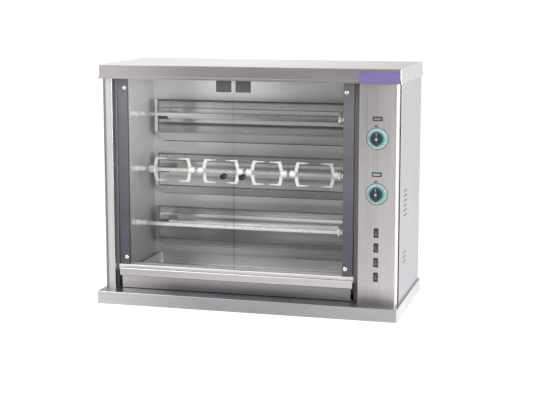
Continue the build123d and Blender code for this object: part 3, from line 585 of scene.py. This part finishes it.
def trough_steel(level):
    low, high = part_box("element_" + level)
    tube = (low.z + high.z) / 2
    light_and_shade = {area: grey(tone) for area, tone in {**SHARED_TROUGH_LIGHT_AND_SHADE, **TROUGH_LIGHT_AND_SHADE[level]}.items()}
    apron = both(DOWN, ramp("Z", *TROUGH_APRON_HEIGHT, edge=tube))
    # Painted light and shade on the areas of the trough; its grey is the steel's own
    layers = [
        (light_and_shade["slope"], UP),
        (light_and_shade["fold"], TROUGH_FOLD_PAINTED_SHADE),
        (light_and_shade["roof"], DOWN),
        (light_and_shade["mouth"], TROUGH_MOUTH_PAINTED_SHADE),
        (light_and_shade["corner"], TROUGH_CORNER_PAINTED_SHADE),
        (light_and_shade["apron"], apron),
        (light_and_shade["foot"], both(apron, TROUGH_BACK)),
        (light_and_shade["edge"], TROUGH_EDGE_PAINTED_SHADE),
        (light_and_shade["lip"], both(TROUGH_EDGE_PAINTED_SHADE, ramp("Z", *TROUGH_LIP_HEIGHT, edge=tube))),
        (light_and_shade["flange"], LEFT_FLANGE_PAINTED_LIGHT),
        (light_and_shade["flange"], RIGHT_FLANGE_PAINTED_LIGHT),
        (light_and_shade["side"], FLANGE_SIDE_PAINTED_SHADE),
    ]
    # Painted shade: the trough dims towards its middle
    painted_shade = (TROUGH_PAINTED_DIM[level], both(OFF_LEFT_WALL, ramp("X", *PAINTED_DIM_ACROSS[level])))
    satin = None
    if level in SATIN_HEIGHT:
        satin = (SATIN_METAL, ramp("Z", *SATIN_HEIGHT[level], edge=tube))
    return brushed_steel(level + "_trough_steel", grey(0.84), "X", rough=0.17, bands=0.05, layers=layers,
                         metal=0.8, relief=0.02, painted_shade=painted_shade, streak=0.02, satin=satin)


# Finishes of the case, with painted light and shade layered on them
POST = brushed_steel("post_steel", (0.72, 0.69, 0.69), "Z", layers=[((0.30, 0.29, 0.30), POST_BEND_PAINTED_SHADE)])
SIDE = brushed_steel("side_steel", (0.74, 0.73, 0.76), "Z", rough=0.36, layers=[
    # Painted shade: front-facing edges made dark as the shadow in the joint beside the control panel
    ((0.10, 0.10, 0.11), FRONT),
])
COVER = brushed_steel("cover_steel", (0.71, 0.71, 0.71), "X", rough=0.34, bands=0.05, layers=[
    ((0.45, 0.44, 0.43), COVER_RIGHT_PAINTED_SHADE),
    # Painted shade: the front of the lip darker than the top
    ((0.29, 0.266, 0.27), FRONT),
    ((0.45, 0.42, 0.425), COVER_LIP_LEFT_PAINTED_LIGHT),
    ((0.37, 0.34, 0.345), COVER_LIP_RIGHT_PAINTED_LIGHT),
    # Painted light on the right-facing end
    ((0.82, 0.82, 0.84), RIGHT),
])
PANEL = brushed_steel("panel_steel", (0.62, 0.58, 0.58), "Z", rough=0.34, bands=0.08, layers=[
    ((0.73, 0.69, 0.69), PANEL_RIGHT_PAINTED_LIGHT),
    ((0.51, 0.475, 0.475), PANEL_TOP_LEFT_PAINTED_SHADE),
    # Painted tones on the panel's bend: a level of its own, and a painted highlight lower down
    ((0.62, 0.605, 0.605), PANEL_BEND),
    ((0.88, 0.86, 0.86), PANEL_BEND_LOW_PAINTED_HIGHLIGHT),
], painted_shade=(0.58, PANEL_FOOT_PAINTED_SHADE), satin=(0.3, PANEL_BEND))
BASE = brushed_steel("base_steel", (0.42, 0.41, 0.43), "X", rough=0.34, layers=[
    ((0.68, 0.67, 0.69), BASE_LEFT_PAINTED_LIGHT),
    ((0.50, 0.49, 0.51), BASE_RIGHT_PAINTED_LIGHT),
    # Painted shade on the base's top, and painted light on its right side
    ((0.30, 0.30, 0.32), UP),
    ((0.95, 0.94, 0.96), RIGHT),
])
TRAY = brushed_steel("tray_steel", (0.62, 0.59, 0.59), "X", layers=[
    ((0.76, 0.72, 0.72), TRAY_RIGHT_PAINTED_LIGHT),
    ((0.40, 0.37, 0.37), TRAY_APRON_PAINTED_SHADE),
    ((0.17, 0.165, 0.17), TRAY_APRON_FOOT_PAINTED_SHADE),
    ((0.58, 0.56, 0.56), TRAY_APRON_LEFT_PAINTED_LIGHT),
    ((0.32, 0.31, 0.31), TRAY_APRON_RIGHT_PAINTED_SHADE),
])
SILL = brushed_steel("sill_steel", (0.82, 0.79, 0.79), "X", rough=0.34, bands=0.06, metal=0.3)
PAN = brushed_steel("pan_steel", (0.56, 0.56, 0.56), "X", rough=0.30, metal=0.8)

# Finishes of the cavity, with painted light and shade layered on them
SHADOW_EDGE = ((0.12, 0.12, 0.13), WALL_EDGE)
WALL = brushed_steel("wall_steel", (0.76, 0.75, 0.75), "Z", rough=0.40, bands=0.04, layers=[
    ((0.25, 0.25, 0.245), WALL_FOOT_PAINTED_SHADE),
    SHADOW_EDGE,
], metal=0.1, relief=0.03)
BACK = brushed_steel("back_steel", (0.85, 0.845, 0.835), "X", rough=0.30, bands=0.05, layers=[
    ((1.0, 0.995, 0.985), BACK_TOP_PAINTED_LIGHT),
    ((0.55, 0.547, 0.54), BACK_MIDDLE_PAINTED_SHADE),
    ((0.62, 0.617, 0.61), BACK_FOOT_PAINTED_SHADE),
    SHADOW_EDGE,
], metal=0.55, relief=0.02, painted_shade=(0.66, BACK_RIGHT_PAINTED_SHADE), streak=0.03)
QUARTZ = grained("quartz_tube", (0.90, 0.90, 0.88), 0.3, scale=TUBE_GRAIN, layers=[
    # Painted shade on the upper and right-hand tubes
    ((0.26, 0.26, 0.255), BARS_PAINTED_SHADE),
])
CERAMIC = grained("dark_ceramic", (0.05, 0.05, 0.05), 0.6)
BUSH = polished_steel("bright_bush_steel", (1.0, 1.0, 0.99), 0.30, metal=0.25)
SPIT_SHADE = (0.30, BARS_PAINTED_SHADE)
SPIT = polished_steel("ground_spit_steel", (0.84, 0.84, 0.82), 0.34, metal=0.75, painted_shade=SPIT_SHADE)
FORK = polished_steel("fork_steel", (0.88, 0.88, 0.86), 0.30, metal=0.35)
CHROME = polished_steel("bright_chrome", (0.90, 0.90, 0.89), 0.22)
MOTOR = grained("cast_metal", (0.40, 0.41, 0.43), 0.5, metal=0.8)

# Finishes of the doors, with painted shade towards the stiles' foot and painted light on the glass's upper
# edges
GLASS = clear_glass("door_glass", (0.985, 0.99, 0.987), (0.48, 0.58, 0.55), (0.88, 0.92, 0.91), GLASS_HIGH_PAINTED_LIGHT)
SLATE = grained("slate_profile", (0.15, 0.15, 0.165), 0.42, metal=0.4, scale=STILE_GRAIN, layers=[
    ((0.09, 0.09, 0.105), STILE_FOOT_PAINTED_SHADE),
])
STRIKE = grained("strike_steel", (0.10, 0.105, 0.10), 0.42, metal=0.4)
BALL = grained("glossy_knob", (0.012, 0.012, 0.013), 0.16)

# Finishes of the controls, the plate and the prints, with a painted glow on the lit lower pilot
BLACK = grained("black_moulding", (0.022, 0.022, 0.024), 0.42)
RUBBER = grained("foot_rubber", (0.03, 0.03, 0.03), 0.75)
DIAL = grained("dial_knob", (0.018, 0.024, 0.027), 0.38, layers=[((0.07, 0.24, 0.25), DIAL_SKIRT)])
TEAL = grained("teal_dial", (0.28, 0.44, 0.455), 0.35)
KEY = grained("rocker_key", (0.05, 0.05, 0.052), 0.30)
LENS = grained("pilot_lens", (0.16, 0.18, 0.17), 0.18, layers=[((0.26, 0.34, 0.30), LIT_LOWER_PILOT)])
PILOT = grained("pilot_frame", (0.03, 0.035, 0.035), 0.4, layers=[((0.012, 0.032, 0.026), LIT_LOWER_PILOT)])
VIOLET = grained("violet_plate", (0.143, 0.111, 0.275), 0.3)
INK_DARK = grained("dark_print", (0.05, 0.065, 0.075), 0.5)
INK_GREY = grained("grey_print", (0.34, 0.33, 0.33), 0.5)

# Finish of each CAD node by its name, or by a part of its name where several share it
FINISHES = {
    "base_pan": BASE, "feet": RUBBER, "cable_gland": BLACK,
    "left_side_panel": POST, "right_side_panel": SIDE, "rear_panel": SIDE, "top_cover": COVER,
    "header_rail": BACK, "sill_rail": SILL, "door_pivot_pins": CHROME, "door_magnets": BLACK,
    "cavity_left_wall": WALL, "cavity_right_wall": WALL, "cavity_back_wall": BACK, "cavity_ceiling": BACK,
    "tray_rails": BACK, "drip_tray_pan": PAN, "drip_tray_front": TRAY,
    "element_end_caps": CERAMIC, "spit_bushes": BUSH, "gear_motors": MOTOR, "fork_screws": FORK,
    "control_panel": PANEL, "dial_plates": TEAL, "regulators": BLACK, "pilot_frames": PILOT,
    "pilot_lenses": LENS, "switch_frames": BLACK,
}
FINISHES.update({"reflector_" + level: trough_steel(level) for level in TROUGH_LIGHT_AND_SHADE})
FAMILIES = {
    "door_stile": SLATE, "door_glass": GLASS, "door_knob": BALL, "strike_plate": STRIKE,
    "element_": QUARTZ, "spit_": SPIT, "drive_socket_": CHROME, "fork_pair_": FORK,
    "dial_knob_": DIAL, "rocker_": KEY,
}


def finish_for(name):
    if name in FINISHES:
        return FINISHES[name]
    return next(finish for part, finish in FAMILIES.items() if part in name)


for name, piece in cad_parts.items():
    piece.data.materials.clear()
    piece.data.materials.append(finish_for(name))


# Round heads: bright caps on the door stiles, and screws with a sunk drive
def round_heads(name, places, profile, radius, height, finish):
    shape = bmesh.new()
    sized = [(radius * share, height * rise) for share, rise in profile]
    for place in places:
        turned(shape, sized, place)
    return finished(shape, name, finish)


def stile_caps(side):
    low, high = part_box(side + "_door_stile")
    x = low.x + CAP_INSET if side == "left" else high.x - CAP_INSET
    places = [Matrix.Translation((x, low.y, z)) for z in (low.z + CAP_FROM_FOOT, high.z - CAP_FROM_TOP)]
    caps = round_heads(side + "_stile_caps", places, CAP_PROFILE, CAP_RADIUS, CAP_HEIGHT, CHROME)
    carried(caps, side + "_door")


def strike_screws(side):
    low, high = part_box(side + "_strike_plate")
    z = (low.z + high.z) / 2
    inset = (high.x - low.x) / 4
    places = [Matrix.Translation((x, low.y, z)) for x in (low.x + inset, high.x - inset)]
    name = side + "_strike_screws"
    screws = round_heads(name, places, SCREW_PROFILE, STRIKE_SCREW_RADIUS, STRIKE_SCREW_HEIGHT, SLATE)
    carried(screws, side + "_door")


def case_screws():
    low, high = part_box("rear_panel")
    backwards = Matrix.Rotation(math.pi, 4, "Z")
    places = []
    for x in (low.x + SCREW_INSET, 0, high.x - SCREW_INSET):
        for z in (low.z + SCREW_INSET, high.z - SCREW_FROM_TOP):
            places.append(Matrix.Translation((x, low.y + REAR_SHEET, z)) @ backwards)
    screws = round_heads("case_screws", places, SCREW_PROFILE, SCREW_RADIUS, SCREW_HEIGHT, CHROME)
    carried(screws, "cabinet")


# Bare plate on the lip of the cover, stepped over the hem
def lip_plate():
    low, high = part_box("top_cover")
    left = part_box("control_panel")[0].x + PLATE_FROM_PANEL
    width = high.x - PLATE_FROM_END - left
    face = low.y - PLATE_PROUD
    back = low.y + HEM_OUT
    foot = low.z + PLATE_FROM_FOOT
    step = low.z + HEM_HEIGHT + HEM_CLEARANCE
    top = high.z - PLATE_FROM_TOP
    outline = [(face, foot), (low.y, foot), (low.y, step - HEM_OUT), (back, step), (back, top), (face, top)]
    shape = bmesh.new()
    drawn(shape, [(left, y, z) for y, z in outline], (width, 0, 0), PLATE_BEVEL)
    carried(finished(shape, "lip_plate", VIOLET), "cabinet")


# Scales on the dial plates, and a ring and index marks around each plate
def dial_centres():
    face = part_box("dial_plates")[0].y
    for level in ("upper", "lower"):
        low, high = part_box("dial_knob_" + level)
        yield Vector(((low.x + high.x) / 2, face, (low.z + high.z) / 2))


def dial_rim():
    low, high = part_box("dial_plates")
    return (high.x - low.x) / 2


def dial_marks():
    tick_start = dial_rim() - TICK_FROM_RIM
    number_place = Matrix.Translation((0, 0, dial_rim() - NUMBER_FROM_RIM))
    shape = bmesh.new()
    for centre in dial_centres():
        for tick in range(TICK_COUNT):
            turn = Matrix.Translation(centre) @ turn_y(tick * TICK_SWEEP / (TICK_COUNT - 1))
            bar_print(shape, turn, TICK_WIDTH, tick_start, tick_start + TICK_LENGTH)
            if tick % TICK_EVERY == 0:
                lettering(shape, str(tick // TICK_EVERY), NUMBER_SIZE, turn @ number_place)
    carried(finished(shape, "dial_marks", INK_DARK), "cabinet")


def dial_indexes():
    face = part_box("control_panel")[0].y
    foot = dial_rim() + INDEX_GAP
    inner = dial_rim() + RING_GAP
    outer = inner + RING_WIDTH
    ring = [(inner, 0), (inner, PRINT_HEIGHT), (outer, PRINT_HEIGHT), (outer, 0), (inner, 0)]
    shape = bmesh.new()
    for centre in dial_centres():
        place = Matrix.Translation((centre.x, face, centre.z))
        aside = place @ Matrix.Translation((-INDEX_ASIDE, 0, 0))
        for mark, (width, length) in ((place, INDEX_BAR), (aside, INDEX_BLOCK)):
            bar_print(shape, mark, width, foot, foot + length)
        turned(shape, ring, place, RING_STEPS)
    carried(finished(shape, "dial_indexes", INK_DARK), "cabinet")


# Pointer and hub dot on each dial knob
def dial_pointer(level):
    low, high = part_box("dial_knob_" + level)
    place = Matrix.Translation(((low.x + high.x) / 2, low.y, (low.z + high.z) / 2))
    start, end = [share * (high.z - low.z) / 2 for share in POINTER_REACH]
    shape = bmesh.new()
    bar_print(shape, place, POINTER_WIDTH, start, end)
    turned(shape, [(HUB_RADIUS * share, HUB_HEIGHT * rise) for share, rise in CAP_PROFILE], place)
    carried(finished(shape, level + "_dial_pointer", INK_GREY), level + "_dial")


# ON and OFF signs on the two slopes of each rocker key
def rocker_signs(number):
    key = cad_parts["rocker_" + str(number)]
    low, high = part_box(key.name)
    slopes = {"O": [], "I": []}
    for face in key.data.polygons:
        if face.normal.y < SLOPE_FACING:
            upper = (key.matrix_world @ face.center).z > (low.z + high.z) / 2
            slopes["I" if upper else "O"].append(face)
    shape = bmesh.new()
    for sign, faces in slopes.items():
        area = sum(face.area for face in faces)
        centre = sum((face.center * face.area for face in faces), Vector()) / area
        normal = sum((face.normal * face.area for face in faces), Vector())
        tilt = math.atan2(normal.z, -normal.y)
        place = Matrix.Translation(key.matrix_world @ centre) @ Matrix.Rotation(-tilt, 4, "X")
        lettering(shape, sign, SIGN_SIZE, place)
    name = "switch_key_" + str(number)
    carried(finished(shape, name + "_signs", INK_GREY), name)


for side in ("left", "right"):
    stile_caps(side)
    strike_screws(side)
case_screws()
lip_plate()
dial_marks()
dial_indexes()
for level in ("upper", "lower"):
    dial_pointer(level)
for number in range(1, 5):
    rocker_signs(number)
